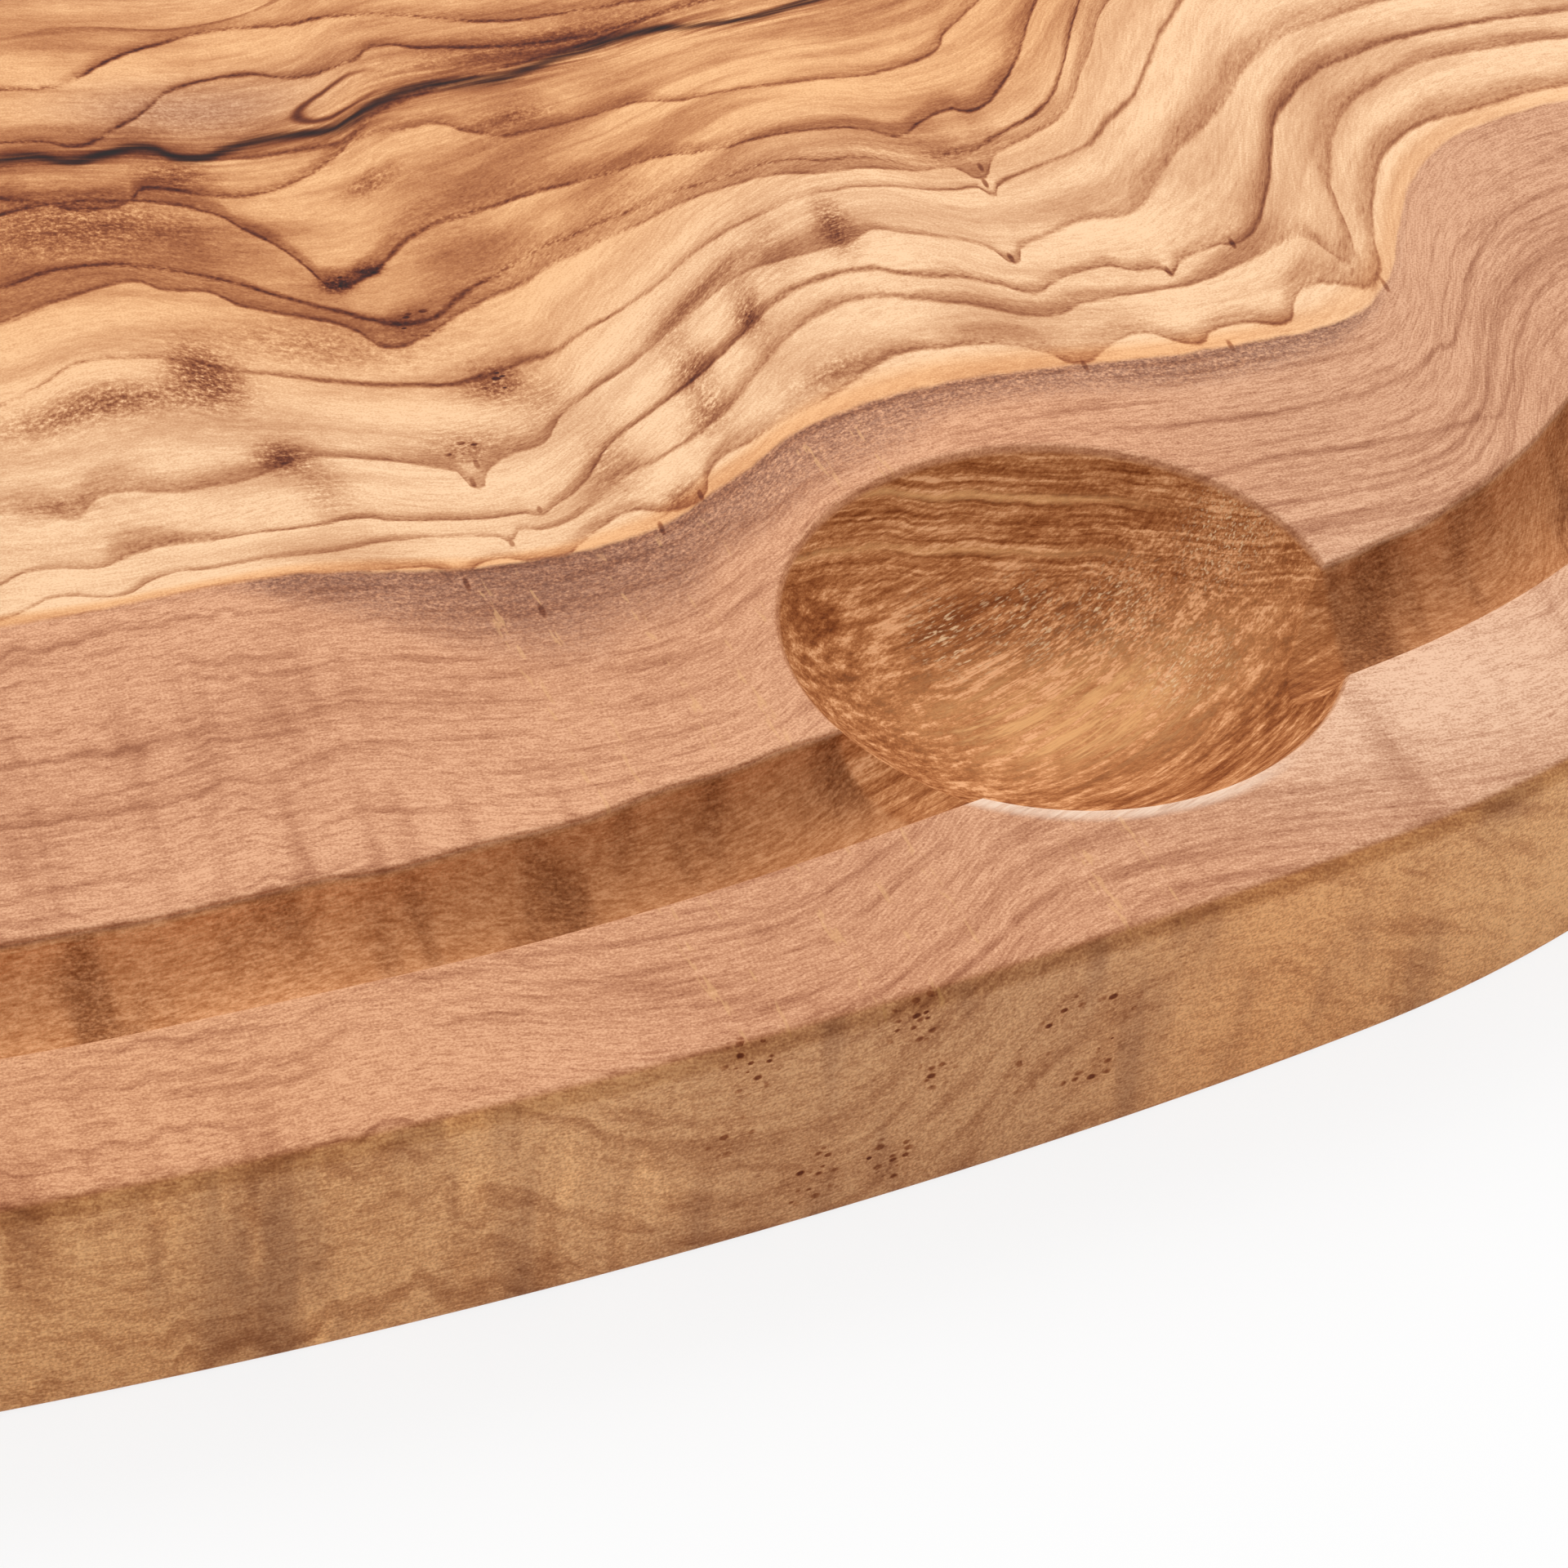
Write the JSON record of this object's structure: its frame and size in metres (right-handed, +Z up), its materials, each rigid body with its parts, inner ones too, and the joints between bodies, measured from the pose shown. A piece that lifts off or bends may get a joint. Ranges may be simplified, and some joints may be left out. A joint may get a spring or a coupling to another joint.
{
  "type": "serving board",
  "caption": "Oval olive wood carving and serving board with a round-bottomed juice groove along its edge that runs into a scooped well.",
  "frame": {"origin": "middle of the underside, where the board stands", "axes": "+X along the long axis, towards the end that the well is near; +Z up, out of the carving face; the well is on the -Y side"},
  "size_m": [0.4, 0.25, 0.02],
  "materials": {
    "olive_wood": "fine sanded and oiled, satin"
  },
  "bodies": {
    "root": {"board": "olive_wood"}
  },
  "joints": []
}
